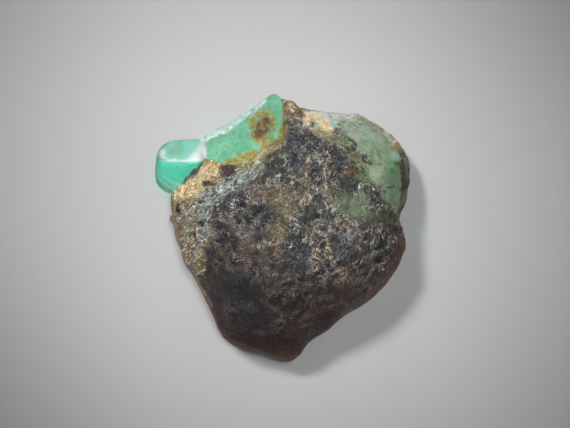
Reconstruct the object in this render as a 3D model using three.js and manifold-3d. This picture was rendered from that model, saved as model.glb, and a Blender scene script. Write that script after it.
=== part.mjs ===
// A raw emerald specimen: two emerald crystals grown in a lump of dark mica schist. It lies on
// its flat back. Millimetres, +Z up: X runs across the stone, Y along it from its tapered foot
// to its peak, and Z from the flat back to the domed face. The origin is under the middle.
import * as THREE from "three";
import { mergeVertices } from "three/addons/utils/BufferGeometryUtils.js";
import Module from "manifold-3d";

const wasm = await Module();
wasm.setup();

// Driving dimensions.
const SEAT_GAP = 0.3; // between a crystal and the schist that holds it
const BELLY = -1.6; // how deep the back would bulge if it weren't parted flat at Z 0
const RIM_HEIGHT = 4.6; // where the face and the back meet, above the flat back
const RIM_SWING = 0.7; // how far that height rises and falls around the stone
const FACE_EDGE = 8; // how squarely the face turns down at the rim: a higher power is squarer
const CRYSTAL_EDGE = 34; // the same beside the left crystal, where the schist is broken steeply
const CRYSTAL_SIDE = 2.28; // the direction of that broken side, anticlockwise from +X
const BACK_EDGE = 4; // how squarely the back turns up at the rim
const AROUND = 88; // facets round the stone
const ACROSS = 34; // facets from the middle of the face over the rim to the middle of the back
const FACET_BLEND = 0.6; // how softly the broad faces of the schist meet
const LEFT_SEAT = 3.2; // height of the shelf under the left crystal
const RIGHT_SEAT = 5.2; // height of the shelf under the right crystal
const PRISM_RADIUS = 4.54; // the hexagonal end of the left crystal, centre to edge
const PRISM_TURN = -0.135; // how far it is turned about its axis, in radians
const HUGE = 120; // a block that is larger than the stone

// The schist's outline seen from above, anticlockwise from its right side. Along the upper left
// it runs inside the left crystal, which overhangs it.
const SCHIST_OUTLINE = [
  [17.6, 1.2], [17.9, 2.6], [18.6, 4.2], [19.1, 6.5], [19.3, 8.7], [18.95, 10.9],
  [18.0, 12.35], [17.15, 13.4], [15.0, 15.2], [13.4, 16.2], [12.2, 16.9], [11.0, 17.5],
  [9.6, 17.3], [7.3, 17.5], [4.6, 17.9], [2.7, 18.2], [1.6, 19.2], [0.3, 19.8],
  [-1.3, 17.8], [-3.5, 15.6], [-7.0, 12.9], [-11.0, 10.7], [-14.6, 8.0], [-16.6, 5.2],
  [-16.4, 2.4], [-16.1, -0.3], [-15.6, -2.2], [-15.0, -3.6], [-14.8, -5.0],
  [-13.5, -6.8], [-11.1, -11.2], [-10.0, -13.7], [-9.2, -15.9], [-6.5, -17.9],
  [-2.6, -18.9], [-1.3, -19.6], [0.5, -20.0], [1.6, -19.8], [3.2, -18.3],
  [3.9, -17.1], [6.8, -15.3], [8.8, -13.5], [13.1, -10.8], [15.1, -9.0],
  [16.8, -6.7], [17.9, -4.5], [18.6, -2.4], [18.3, -0.7],
];

// The broad faces of the schist. Each passes through a point and falls away in a direction.
const SCHIST_FACES = [
  { through: [-1.0, 3.0, 18.6], falls: [0.1, -1.0], slope: 0.14 }, // the dome's front
  { through: [0.0, -8.0, 17.0], falls: [0.1, -1.0], slope: 0.72 }, // down to the foot
  { through: [-9.0, -3.0, 16.6], falls: [-0.86, -0.5], slope: 0.95 }, // lower left
  { through: [-12.5, 3.0, 15.0], falls: [-1.0, 0.1], slope: 1.0 }, // left end
  { through: [-8.6, 7.5, 16.4], falls: [-0.52, 0.86], slope: 0.8 }, // mica band under the crystal
  { through: [5.5, 6.0, 17.9], falls: [0.85, 0.53], slope: 0.46 }, // right shoulder
  { through: [12.0, -6.0, 15.0], falls: [0.8, -0.6], slope: 0.72 }, // lower right
  { through: [5.0, 14.0, 15.4], falls: [0.2, 1.0], slope: 1.05 }, // top
  { through: [16.4, 8.0, 12.6], falls: [1.0, 0.1], slope: 1.5 }, // right side
];

// The left crystal's plan, from its root at the hexagonal end round by the peak. It stops at the
// schist's ridge.
const LEFT_CRYSTAL_PLAN = [
  [-12.2, 13.2], [-11.9, 13.7], [-9.9, 14.6], [-7.6, 15.7], [-6.2, 16.8], [-4.4, 17.7],
  [-3.3, 18.6], [-2.2, 19.5], [-1.2, 20.05], [-0.7, 19.9], [-0.15, 19.2], [0.15, 18.2],
  [0.25, 16.2], [0.2, 13.0], [-1.3, 12.3], [-3.0, 11.0], [-4.2, 9.8], [-5.4, 9.0], [-7.6, 9.2],
  [-9.6, 9.6], [-11.4, 9.9], [-12.0, 11.4],
];

// Planes that break the left crystal's top: the broad face towards the upper left, the strip
// beside the peak, and two chips along its outer edge.
const LEFT_CRYSTAL_BREAKS = [
  { through: [-5.6, 10.2, 15.2], outward: [-0.27, 0.46, 0.85] },
  { through: [-0.9, 17.0, 12.6], outward: [0.42, 0.35, 0.84] },
  { through: [-9.6, 14.5, 10.6], outward: [-0.4, 0.75, 0.53] },
  { through: [-3.4, 18.5, 10.4], outward: [-0.5, 0.7, 0.5] },
];

// Planes that undercut the left crystal below, where it leaves the schist.
const LEFT_CRYSTAL_UNDERCUTS = [
  { through: [-7.4, 15.6, 6.6], outward: [-0.3, 0.5, -0.81] },
  { through: [-1.4, 19.6, 6.0], outward: [0.1, 0.6, -0.79] },
];

// The room the hexagonal end needs above itself: the schist stops short of it along a diagonal.
const PRISM_ROOM = [
  [-21.0, 4.7], [-17.0, 4.7], [-14.8, 7.0], [-13.0, 8.5], [-11.2, 9.9], [-11.2, 15.0],
  [-21.0, 15.0],
];

// The hexagonal end: its axis runs along X at this place and height, with one edge near the top.
const PRISM_AXIS = { y: 9.22, z: 7.1, from: -19.0, to: -9.6 };

// Planes that round off the broken tip of the hexagonal end.
const PRISM_BREAKS = [
  { through: [-17.8, 11.8, 8.0], outward: [-0.74, 0.62, 0.25] },
  { through: [-18.8, 9.3, 7.0], outward: [-0.97, 0.12, 0.2] },
  { through: [-17.7, 5.9, 7.0], outward: [-0.66, -0.72, 0.2] },
  { through: [-18.3, 9.2, 9.8], outward: [-0.72, 0.0, 0.7] },
  { through: [-18.0, 9.2, 4.0], outward: [-0.7, 0.0, -0.7] },
];

// The right crystal's plan. A rim of schist is left outside it, below its top.
const RIGHT_CRYSTAL_PLAN = [
  [7.4, 16.2], [10.2, 16.3], [13.4, 14.9], [16.3, 12.7], [17.7, 10.4], [18.15, 8.6],
  [18.0, 5.8], [17.2, 3.6], [16.6, 1.0], [15.4, -0.8], [12.4, -0.4], [9.4, 0.8],
  [7.4, 4.0], [5.9, 8.0], [5.9, 12.6],
];

// Planes that flatten the right crystal along its outer edge.
const RIGHT_CRYSTAL_BREAKS = [
  { through: [17.2, 9.4, 11.2], outward: [0.86, 0.16, 0.48] },
  { through: [13.6, 14.4, 11.0], outward: [0.45, 0.72, 0.53] },
];

const COLOURS = {
  schist: { color: 0x2b2421, roughness: 0.7, metalness: 0.05 },
  brightEmerald: { color: 0x5fd3a4, roughness: 0.2, metalness: 0.0 },
  deepEmerald: { color: 0x4f9a72, roughness: 0.3, metalness: 0.0 },
};

// A closed three.js geometry as a solid that can be joined and cut.
function solidOf(geometry) {
  const bare = geometry.index ? geometry.clone() : geometry;
  bare.deleteAttribute("normal");
  bare.deleteAttribute("uv");
  const merged = mergeVertices(bare, 1e-4);
  const mesh = new wasm.Mesh({
    numProp: 3,
    vertProperties: merged.attributes.position.array,
    triVerts: new Uint32Array(merged.index.array),
  });
  return new wasm.Manifold(mesh);
}

// A solid as a geometry again, with flat shading.
function geometryOf(solid) {
  const { vertProperties, triVerts } = solid.getMesh();
  const geometry = new THREE.BufferGeometry();
  geometry.setAttribute("position", new THREE.BufferAttribute(vertProperties, 3));
  geometry.setIndex(new THREE.BufferAttribute(triVerts, 1));
  const flat = geometry.toNonIndexed();
  flat.computeVertexNormals();
  return flat;
}

// The distance from the middle to a closed outline, as a function of the angle.
function reachOf(outline) {
  const samples = 720;
  const knots = outline.map(([x, y]) => new THREE.Vector3(x, y, 0));
  const curve = new THREE.CatmullRomCurve3(knots, true, "centripetal");
  const points = curve.getPoints(samples).map((p) => ({
    angle: (Math.atan2(p.y, p.x) + 2 * Math.PI) % (2 * Math.PI),
    reach: Math.hypot(p.x, p.y),
  }));
  points.sort((a, b) => a.angle - b.angle);
  const last = points[points.length - 1];
  const ring = [{ ...last, angle: last.angle - 2 * Math.PI }, ...points];
  ring.push({ ...points[0], angle: points[0].angle + 2 * Math.PI });
  return (angle) => {
    const wanted = (angle + 2 * Math.PI) % (2 * Math.PI);
    const next = Math.max(1, ring.findIndex((p) => p.angle >= wanted));
    const [a, b] = [ring[next - 1], ring[next]];
    const share = (wanted - a.angle) / (b.angle - a.angle || 1);
    return a.reach + share * (b.reach - a.reach);
  };
}

// The height of the schist's face: the lowest of its broad faces, blended where they meet.
function faceHeight(x, y) {
  let sum = 0;
  for (const { through, falls, slope } of SCHIST_FACES) {
    const along = (x - through[0]) * falls[0] + (y - through[1]) * falls[1];
    const height = through[2] - (slope * along) / Math.hypot(...falls);
    sum += Math.exp(-height / FACET_BLEND);
  }
  return -FACET_BLEND * Math.log(sum);
}

// Low waves that keep the broken schist from being smooth.
function ripple(x, y) {
  const coarse = 0.28 * Math.sin(0.9 * x + 0.35 * y) * Math.cos(0.75 * y - 0.3 * x);
  const fine = 0.16 * Math.sin(2.1 * x - 1.3 * y + 1) * Math.sin(1.9 * y + 0.8 * x);
  return coarse + fine;
}

// How squarely the face turns down at the rim in a direction: most squarely beside the left
// crystal, and less so within about 40 degrees of it.
function edgePower(angle) {
  const nearness = Math.max(0, Math.cos(angle - CRYSTAL_SIDE));
  return FACE_EDGE + (CRYSTAL_EDGE - FACE_EDGE) * nearness ** 6;
}

// The whole lump before the crystals' seats are cut: a ball drawn out to the outline, with the
// face above its equator and the back below.
function schistBlank() {
  const ball = new THREE.SphereGeometry(1, AROUND, ACROSS);
  ball.rotateX(Math.PI / 2);
  const reach = reachOf(SCHIST_OUTLINE);
  const position = ball.attributes.position;
  const v = new THREE.Vector3();
  for (let i = 0; i < position.count; i++) {
    v.fromBufferAttribute(position, i);
    const angle = Math.atan2(v.y, v.x);
    const polar = Math.acos(THREE.MathUtils.clamp(v.z, -1, 1)) / (Math.PI / 2);
    const linear = 1 - Math.abs(polar - 1);
    const share = 0.45 * linear + 0.55 * Math.sin((linear * Math.PI) / 2);
    const x = share * reach(angle) * Math.cos(angle);
    const y = share * reach(angle) * Math.sin(angle);
    const rim = RIM_HEIGHT + RIM_SWING * Math.sin(2 * angle + 0.6);
    const rise = faceHeight(x, y) + ripple(x, y) - rim;
    const face = rim + rise * Math.sqrt(1 - share ** edgePower(angle));
    const back = rim - (rim - BELLY) * Math.sqrt(1 - share ** BACK_EDGE);
    position.setXYZ(i, x, y, polar <= 1 ? face : back);
  }
  return solidOf(ball).subtract(halfSpace([0, 0, 0], [0, 0, -1]));
}

// Everything on the outward side of a plane, as a block to cut with.
function halfSpace(through, outward) {
  const block = new THREE.BoxGeometry(HUGE, HUGE, HUGE);
  block.translate(0, 0, HUGE / 2);
  const direction = new THREE.Vector3(...outward).normalize();
  const turn = new THREE.Quaternion().setFromUnitVectors(new THREE.Vector3(0, 0, 1), direction);
  block.applyQuaternion(turn);
  block.translate(...through);
  return solidOf(block);
}

// An upright prism on a plan, from a height up past the top of the stone. A margin grows it
// sideways.
function uprightPrism(plan, from, margin) {
  const shape = new THREE.Shape(plan.map(([x, y]) => new THREE.Vector2(x, y)));
  const prism = new THREE.ExtrudeGeometry(shape, {
    depth: HUGE / 4,
    bevelEnabled: margin > 0,
    bevelSize: margin,
    bevelThickness: 1e-2,
    bevelSegments: 1,
  });
  prism.translate(0, 0, from);
  return solidOf(prism);
}

// A solid with everything outside some planes broken off. A margin moves the planes outward.
function cutBy(solid, breaks, margin) {
  let left = solid;
  for (const { through, outward } of breaks) {
    const step = margin / Math.hypot(...outward);
    const moved = through.map((place, i) => place + step * outward[i]);
    left = left.subtract(halfSpace(moved, outward));
  }
  return left;
}

// The left crystal's body below its broken top. A margin grows it, which gives its seat.
function leftBody(margin) {
  const body = uprightPrism(LEFT_CRYSTAL_PLAN, LEFT_SEAT - margin, margin);
  return cutBy(body, LEFT_CRYSTAL_UNDERCUTS, margin);
}

// The hexagonal end of the left crystal, before it is joined on. A margin makes it thicker.
function hexagonalEnd(margin) {
  const length = PRISM_AXIS.to - PRISM_AXIS.from;
  const prism = new THREE.CylinderGeometry(PRISM_RADIUS + margin, PRISM_RADIUS + margin, length, 6);
  prism.rotateZ(Math.PI / 2);
  prism.rotateX(PRISM_TURN);
  prism.translate((PRISM_AXIS.from + PRISM_AXIS.to) / 2, PRISM_AXIS.y, PRISM_AXIS.z);
  return solidOf(prism);
}

function leftCrystal() {
  const body = cutBy(leftBody(0), LEFT_CRYSTAL_BREAKS, 0);
  return body.add(cutBy(hexagonalEnd(0), PRISM_BREAKS, 0));
}

function rightCrystal(blank) {
  const body = uprightPrism(RIGHT_CRYSTAL_PLAN, RIGHT_SEAT, 0).intersect(blank);
  return cutBy(body, RIGHT_CRYSTAL_BREAKS, 0);
}

function schistMatrix(blank) {
  return blank
    .subtract(leftBody(SEAT_GAP))
    .subtract(uprightPrism(PRISM_ROOM, PRISM_AXIS.z, 0))
    .subtract(hexagonalEnd(SEAT_GAP * 1.2))
    .subtract(uprightPrism(RIGHT_CRYSTAL_PLAN, RIGHT_SEAT - SEAT_GAP, SEAT_GAP));
}

function named(name, solid, colour) {
  const mesh = new THREE.Mesh(geometryOf(solid), new THREE.MeshStandardMaterial(colour));
  mesh.name = name;
  return mesh;
}

const blank = schistBlank();
const specimen = new THREE.Group();
specimen.add(named("schist_matrix", schistMatrix(blank), COLOURS.schist));
specimen.add(named("emerald_crystal_left", leftCrystal(), COLOURS.brightEmerald));
specimen.add(named("emerald_crystal_right", rightCrystal(blank), COLOURS.deepEmerald));

// The origin goes under the middle of the specimen's box.
const middle = new THREE.Box3().setFromObject(specimen).getCenter(new THREE.Vector3());
specimen.position.set(-middle.x, -middle.y, 0);

export default specimen;
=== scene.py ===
"""A raw emerald specimen: green beryl grown in a lump of dark mica schist, lying on its flat back.

Every place below is in millimetres in the specimen's own frame: X across the stone, Y from its
tapered foot to its peak, Z up from the flat back. Meshes and nodes work in metres.
"""

import math

import bpy
from mathutils import Matrix, Vector


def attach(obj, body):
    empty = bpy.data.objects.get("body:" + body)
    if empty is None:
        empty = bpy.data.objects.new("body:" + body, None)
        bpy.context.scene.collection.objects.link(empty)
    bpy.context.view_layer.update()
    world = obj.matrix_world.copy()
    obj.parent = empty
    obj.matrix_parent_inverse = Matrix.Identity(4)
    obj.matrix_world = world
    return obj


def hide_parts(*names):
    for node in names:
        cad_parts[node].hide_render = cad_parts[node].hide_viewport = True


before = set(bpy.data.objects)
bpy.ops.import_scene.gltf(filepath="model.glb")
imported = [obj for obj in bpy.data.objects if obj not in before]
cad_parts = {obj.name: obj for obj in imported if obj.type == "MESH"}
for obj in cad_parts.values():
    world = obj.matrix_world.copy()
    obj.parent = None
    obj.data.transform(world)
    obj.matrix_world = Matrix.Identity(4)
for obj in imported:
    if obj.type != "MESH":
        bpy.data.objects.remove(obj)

bl_info = {
    "name": "Raw Emerald Specimen",
    "version": (1, 0, 0),
    "blender": (4, 5, 0),
    "location": "View3D > Sidebar > Specimen",
    "description": "Finishes a lump of mica schist with emerald crystals grown in it",
    "category": "Add Mesh",
}

MM = 0.001
BAND_RUN = 41.0  # direction of the silver band seen from above, in degrees from X
END_START = -11.0  # where the left crystal's hexagonal end begins, along X
BERYL_IOR = 1.58
CONTACT = 1.1  # schist nearer than this to a crystal is drawn onto it
END_ROUNDING = 70  # how often the hexagonal end's points are evened out
SCHIST, LEFT, RIGHT = "schist_matrix", "emerald_crystal_left", "emerald_crystal_right"


# ---------------------------------------------------------------------------------------------
# Node graphs written as expressions
# ---------------------------------------------------------------------------------------------
class Value:
    """A node's number, so that shader and geometry maths can be written as Python expressions."""

    def __init__(self, graph, socket):
        self.graph = graph
        self.socket = socket

    def __add__(self, other):
        return self.graph.maths("ADD", self, other)

    def __radd__(self, other):
        return self.graph.maths("ADD", other, self)

    def __sub__(self, other):
        return self.graph.maths("SUBTRACT", self, other)

    def __rsub__(self, other):
        return self.graph.maths("SUBTRACT", other, self)

    def __mul__(self, other):
        return self.graph.maths("MULTIPLY", self, other)

    def __rmul__(self, other):
        return self.graph.maths("MULTIPLY", other, self)

    def __truediv__(self, other):
        return self.graph.maths("DIVIDE", self, other)

    def __pow__(self, other):
        return self.graph.maths("POWER", self, other)

    def __or__(self, other):
        """The larger of two masks: where either one is."""
        return self.graph.maths("MAXIMUM", self, other)

    def __and__(self, other):
        """The smaller of two masks: where both are."""
        return self.graph.maths("MINIMUM", self, other)


class Graph:
    """A shader or geometry node tree under construction."""

    def __init__(self, tree):
        self.tree = tree

    def node(self, kind, settings=None, sockets=None, output=0):
        """Adds a node: its settings first, then the values or links of its sockets."""
        made = self.tree.nodes.new(kind)
        for name, value in (settings or {}).items():
            setattr(made, name, value)
        for name, value in (sockets or {}).items():
            if isinstance(value, Value):
                self.tree.links.new(value.socket, made.inputs[name])
            else:
                made.inputs[name].default_value = value
        return Value(self, made.outputs[output]) if len(made.outputs) else made

    def maths(self, operation, *terms):
        return self.node("ShaderNodeMath", {"operation": operation}, dict(enumerate(terms)))

    def vector(self, operation, *terms):
        output = 1 if operation in ("LENGTH", "DISTANCE", "DOT_PRODUCT") else 0
        settings = {"operation": operation}
        return self.node("ShaderNodeVectorMath", settings, dict(enumerate(terms)), output)

    def rise(self, value, start, end):
        """0 where value is at start, 1 where it is at end, eased between; start may be larger."""
        settings = {"interpolation_type": "SMOOTHSTEP"}
        sockets = {"Value": value, "From Min": start, "From Max": end}
        return self.node("ShaderNodeMapRange", settings, sockets)

    def mix(self, share, first, second):
        """A colour between two others."""
        settings = {"data_type": "RGBA", "clamp_factor": True}
        return self.node("ShaderNodeMix", settings, {0: share, 6: first, 7: second}, 2)

    def layered(self, colour, layers):
        """A colour under layers of others, in order; a layer is its mask and its colour."""
        for mask, tint in layers:
            colour = self.mix(mask, colour, (*tint, 1.0))
        return colour

    def also(self, value, name):
        """Another output of the node that a value comes from."""
        return Value(self, value.socket.node.outputs[name])

    def scaled(self, vector, amount):
        """A vector made longer by an amount."""
        sockets = {0: vector, "Scale": amount}
        return self.node("ShaderNodeVectorMath", {"operation": "SCALE"}, sockets)

    def part(self, vector, axis):
        """One component of a vector or colour."""
        return self.node("ShaderNodeSeparateXYZ", None, {0: vector}, axis)

    def shifted(self, place, seed):
        """The same place in another part of the noise."""
        return self.vector("ADD", place, (31.7 * seed, 11.9 * seed, 47.3 * seed))

    def noise(self, place, size, detail=2.0, roughness=0.5, twist=0.0, seed=0):
        """Noise about size mm across, from 0 to 1."""
        where = self.shifted(place, seed) if seed else place
        sockets = {
            "Vector": where,
            "Scale": 1.0 / size,
            "Detail": detail,
            "Roughness": roughness,
            "Distortion": twist,
        }
        return self.node("ShaderNodeTexNoise", None, sockets)

    def wander(self, place, size, reach, detail=2.0, seed=0):
        """The place moved about by up to half of reach mm, so that a mask on it has a torn edge."""
        sockets = {"Vector": self.shifted(place, seed), "Scale": 1.0 / size, "Detail": detail}
        colour = self.node("ShaderNodeTexNoise", None, sockets, 1)
        centred = self.vector("SUBTRACT", colour, (0.5, 0.5, 0.5))
        return self.vector("ADD", place, self.vector("MULTIPLY", centred, (reach, reach, reach)))

    def cells(self, place, size):
        """A random number from 0 to 1 for each cell about size mm across."""
        sockets = {"Vector": place, "Scale": 1.0 / size}
        return self.part(self.node("ShaderNodeTexVoronoi", None, sockets, 1), 0)

    def fibres(self, place, sheaf, width, length, seed, heading=0.0, spread=360.0):
        """Noise drawn out into fibres, in sheaves about sheaf mm across, each turned at random.

        heading and spread, in degrees, are the mean direction of the sheaves and its range."""
        bent = self.wander(place, sheaf, sheaf * 0.7, 1.0, seed)
        sockets = {"Vector": bent, "Scale": 1.0 / sheaf}
        cell = self.node("ShaderNodeTexVoronoi", None, sockets, 1)
        offset = self.vector("SUBTRACT", bent, self.also(cell, "Position"))
        turn = (0.5 - self.part(cell, 0)) * math.radians(spread) - math.radians(heading)
        sockets = {0: offset, "Angle": turn}
        turned = self.node("ShaderNodeVectorRotate", {"rotation_type": "Z_AXIS"}, sockets)
        drawn = self.vector("MULTIPLY", turned, (1.0 / length, 1.0 / width, 1.0 / width))
        apart = self.vector("MULTIPLY", cell, (70.0, 70.0, 70.0))
        return self.noise(self.vector("ADD", drawn, apart), 1.0, 1.0)

    def plates(self, place, size, tilt, step):
        """Height of overlapping plates about size mm across, each tilted and lifted at random."""
        cell = self.node("ShaderNodeTexVoronoi", None, {"Vector": place, "Scale": 1.0 / size}, 1)
        lean = self.vector("SUBTRACT", cell, (0.5, 0.5, 0.5))
        offset = self.vector("SUBTRACT", place, self.also(cell, "Position"))
        return self.vector("DOT_PRODUCT", offset, lean) * tilt + self.part(lean, 2) * step

    def from_oval(self, place, middle, radii, turn):
        """How far out of an oval seen from above: 1 on its edge. turn is in degrees."""
        across = Matrix.Rotation(-math.radians(turn), 3, "Z")
        inside = Vector((1.0 / radii[0], 1.0 / radii[1], 0.0))
        offset = -(across @ Vector((*middle, 0.0))) * inside
        if turn:
            sockets = {0: place, "Angle": -math.radians(turn)}
            place = self.node("ShaderNodeVectorRotate", {"rotation_type": "Z_AXIS"}, sockets)
        return self.vector("LENGTH", self.vector("MULTIPLY_ADD", place, inside, offset))

    def from_line(self, place, points, width):
        """How far from a line seen from above: 1 at half of its width."""
        flat = self.vector("MULTIPLY", place, (1.0, 1.0, 0.0))
        nearest = None
        for start, end in zip(points, points[1:]):
            run = Vector((end[0] - start[0], end[1] - start[1], 0.0))
            offset = self.vector("SUBTRACT", flat, (*start, 0.0))
            share = self.vector("DOT_PRODUCT", offset, run / run.length_squared)
            held = self.node("ShaderNodeClamp", None, {0: share})
            away = self.vector("DISTANCE", offset, self.vector("MULTIPLY", held, run))
            nearest = away if nearest is None else nearest & away
        return nearest * (2.0 / width)

    def covered(self, place, shapes, soft=0.4):
        """1 inside any of the shapes, 0 outside; soft is the width of the edge between.

        A shape is an oval (middle, radii, turn) or a line (points, width)."""
        outside = None
        for shape in shapes:
            one = (self.from_line if len(shape) == 2 else self.from_oval)(place, *shape)
            outside = one if outside is None else outside & one
        return self.rise(outside, 1.0 + soft, 1.0 - soft)


# ---------------------------------------------------------------------------------------------
# Where each kind of surface lies, seen from above, in millimetres
# ---------------------------------------------------------------------------------------------
SILVER_LINE = [
    ([(-11.1, 3.8), (-10.0, 4.8), (-8.6, 5.6), (-7.4, 6.3), (-6.1, 7.2), (-4.8, 8.2),
      (-3.7, 9.0)], 2.2),
]
SILVER_TAIL = [
    ([(-11.6, -1.0), (-11.0, 0.8), (-11.0, 2.5), (-10.2, 3.8), (-8.6, 5.2), (-7.1, 6.2)], 1.2),
]
TAN_LINE = [([(-12.5, 4.8), (-11.0, 5.8), (-9.5, 6.6), (-8.1, 7.2)], 0.9)]
CREAM_LINE = [
    ([(-16.3, 5.6), (-14.7, 5.5), (-13.1, 6.5), (-11.8, 7.4), (-11.1, 8.4), (-10.1, 9.1)], 1.5),
]
CREAM_SEAM = [
    ([(-10.1, 9.1), (-9.6, 8.2), (-11.2, 7.1), (-12.7, 6.1), (-14.0, 5.1), (-15.7, 4.8)], 1.5),
]
AMBER_SEAM = [
    ([(-11.4, 9.6), (-10.3, 9.6), (-9.2, 8.7), (-7.9, 9.2), (-6.4, 8.9), (-5.0, 9.0),
      (-3.5, 9.9)], 0.8),
]
OLIVE_SEAM = [([(-3.0, 11.1), (-4.1, 10.0), (-5.4, 9.5), (-6.7, 9.3), (-7.9, 9.7)], 1.0)]
RIDGE_LINE = [([(-4.2, 8.5), (-3.7, 9.5), (-3.0, 10.6), (-2.1, 11.5), (-1.1, 12.5)], 0.5)]
RIDGE_SEAM = [
    ([(0.2, 14.7), (-0.1, 13.2), (-1.0, 11.9), (-2.1, 11.2), (-3.0, 10.2), (-3.8, 9.0)], 1.1),
]
LEFT_EDGE = [
    ([(-16.4, 5.0), (-15.9, 3.4), (-15.8, 1.3), (-15.9, -1.1), (-15.1, -2.9), (-14.4, -4.9),
      (-13.6, -6.2), (-12.6, -7.8), (-11.7, -9.5), (-10.7, -11.4)], 0.8),
]
LOW_EDGE = [
    ([(-11.4, -10.1), (-10.3, -12.9), (-9.5, -15.0), (-8.2, -16.3), (-6.4, -17.7), (-3.1, -18.4),
      (-1.0, -19.3), (1.1, -19.9), (2.0, -19.4)], 0.6),
]
RUST_EDGE = [
    ([(18.2, -1.1), (17.6, -3.1), (16.3, -5.2), (15.1, -6.9), (13.4, -9.0), (11.3, -10.9),
      (9.2, -12.6)], 1.3),
]
BROWN_POCKETS = [
    ((-10.7, 6.6), (1.14, 0.43), -8), ((-8.0, 8.2), (1.14, 0.86), 20),
    ((-15.0, 3.1), (0.58, 1.02), 10), ((-11.3, 3.9), (0.57, 0.29), 20),
    ((-11.3, 0.9), (0.57, 0.57), 30), ((-12.5, -0.7), (0.43, 0.43), 0),
]
AMBER_POCKETS = [
    ((-10.0, 7.4), (1.0, 0.29), 5), ((-13.9, 3.9), (1.01, 0.58), 20),
    ((-14.9, -0.6), (0.59, 0.44), 0), ((-13.1, -2.5), (0.44, 0.58), -30),
    ((-11.6, -5.1), (0.58, 0.87), -15), ((-14.0, -4.3), (0.59, 0.74), 0),
    ((-15.6, 1.6), (0.29, 1.33), 0),
]
LEDGE = [
    ((-12.9, 2.5), (2.88, 2.16), 25), ((-12.5, -1.0), (2.6, 1.73), 10),
    ((-12.8, -3.6), (1.6, 2.04), 14), ((-12.0, -5.5), (0.88, 1.31), 10),
]
GREY_PLATES = [
    ((-11.6, -1.5), (0.86, 0.86), 30), ((-13.4, 1.0), (1.01, 0.58), 20),
    ((-10.7, -0.4), (0.86, 0.43), 25), ((-12.7, -4.8), (0.73, 0.58), 0),
    ((-11.9, 2.6), (0.86, 0.43), 35),
]
OLIVE_GLOW = [
    ((-0.2, 4.8), (2.0, 1.4), 0), ((0.4, 2.8), (1.5, 1.1), 0), ((-0.6, -0.1), (1.1, 1.5), 0),
]
BROWN_GLOW = [
    ((-5.2, -2.5), (1.27, 1.7), 0), ((-2.5, -0.5), (0.85, 0.71), 0),
    ((-8.7, -3.5), (1.14, 0.57), 0), ((-5.1, 6.5), (1.98, 0.85), 10), ((2.8, 4.7), (0.85, 0.71), 0),
    ((-2.9, 4.7), (1.27, 0.85), 0),
]
RUST_GLOW = [
    ((-1.1, -2.5), (0.99, 1.13), 0), ((1.9, -14.4), (0.87, 0.73), 0),
    ((-10.6, -8.2), (1.31, 1.02), 0), ((5.4, -12.5), (2.03, 1.45), 0),
    ((8.9, -8.7), (1.72, 1.72), 0),
]
MAROON = [
    ((-4.9, -16.8), (4.42, 1.77), -10), ((-9.6, -13.2), (1.33, 2.66), 25),
    ((0.3, -17.0), (3.23, 2.06), 0), ((6.9, -13.7), (2.65, 1.47), 30),
]
FOOT_GLOW = [((0.4, -19.1), (1.64, 0.74), 0), ((-6.1, -17.2), (1.48, 0.44), -20)]
BLUE_SHADE = [
    ((1.2, 13.2), (1.14, 1.86), 0), ((4.2, 12.0), (0.71, 1.28), 0), ((2.1, 9.6), (1.13, 0.71), 0),
    ((-2.2, 1.4), (1.13, 1.56), 0), ((6.3, 1.9), (0.85, 0.71), 0), ((8.3, -2.2), (0.99, 1.56), 0),
    ((8.4, -4.2), (0.57, 1.0), 0), ((2.4, -3.2), (1.99, 1.56), 0), ((8.6, 9.9), (1.15, 0.86), 0),
    ((10.3, 6.8), (1.0, 0.72), 0), ((4.7, -1.2), (0.57, 0.71), 0), ((4.1, 8.2), (0.85, 0.99), 0),
    ((-7.2, 4.9), (1.7, 0.71), 30),
]
LOW_SHADE = [((-6.9, -8.7), (3.73, 2.3), 0), ((-4.0, -12.8), (2.89, 1.45), 0)]
DARK_CLUSTER = [((13.4, 4.4), (1.44, 1.15), -30), ((11.9, 5.6), (0.72, 0.57), 0)]
VEINS = [
    ([(3.7, 9.9), (3.6, 8.2), (3.3, 6.6), (3.5, 4.7), (2.8, 3.6)], 0.72),
    ([(5.8, 9.5), (6.1, 7.3), (5.4, 5.6), (6.4, 4.3), (7.5, 3.5), (8.4, 2.6), (9.5, 1.5),
      (10.0, 0.2)], 0.72),
    ([(4.0, 0.8), (5.5, 1.2), (7.0, 1.2)], 0.43),
    ([(4.0, -1.2), (4.7, 0.2), (6.1, -1.2), (6.8, -2.3), (6.1, -3.3), (7.1, -4.8)], 0.72),
    ([(4.3, -1.6), (3.8, -2.5), (4.8, -3.5), (5.4, -4.6), (5.0, -5.8)], 0.58),
    ([(7.7, 1.2), (8.1, -0.1), (9.5, 0.2), (10.4, 0.8)], 0.58),
    ([(8.6, -5.4), (8.9, -6.7)], 0.58),
]
DIM_VEINS = [
    ([(11.0, -2.8), (12.4, -4.0), (12.5, -5.3), (11.2, -6.1), (10.2, -7.4)], 0.58),
    ([(1.0, -7.2), (-0.4, -7.5)], 0.43),
    ([(0.2, -10.1), (-0.7, -11.6), (0.3, -13.9)], 0.43),
    ([(6.7, -6.5), (5.6, -7.9), (6.8, -9.9), (9.0, -11.0)], 0.58),
    ([(9.8, -1.5), (11.3, -2.9)], 0.58),
    ([(-1.0, -3.6), (-0.3, -4.6)], 0.43),
]
HAZE = [
    ((9.6, 3.8), (1.85, 0.86), 0), ((10.6, 2.6), (2.0, 0.86), -10), ((11.5, 4.8), (0.86, 1.29), 0),
]
DIM_HAZE = [
    ((12.6, 1.8), (1.72, 1.14), 0), ((8.1, 5.0), (1.28, 1.0), 0), ((14.7, 1.9), (1.3, 1.01), 0),
]
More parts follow.
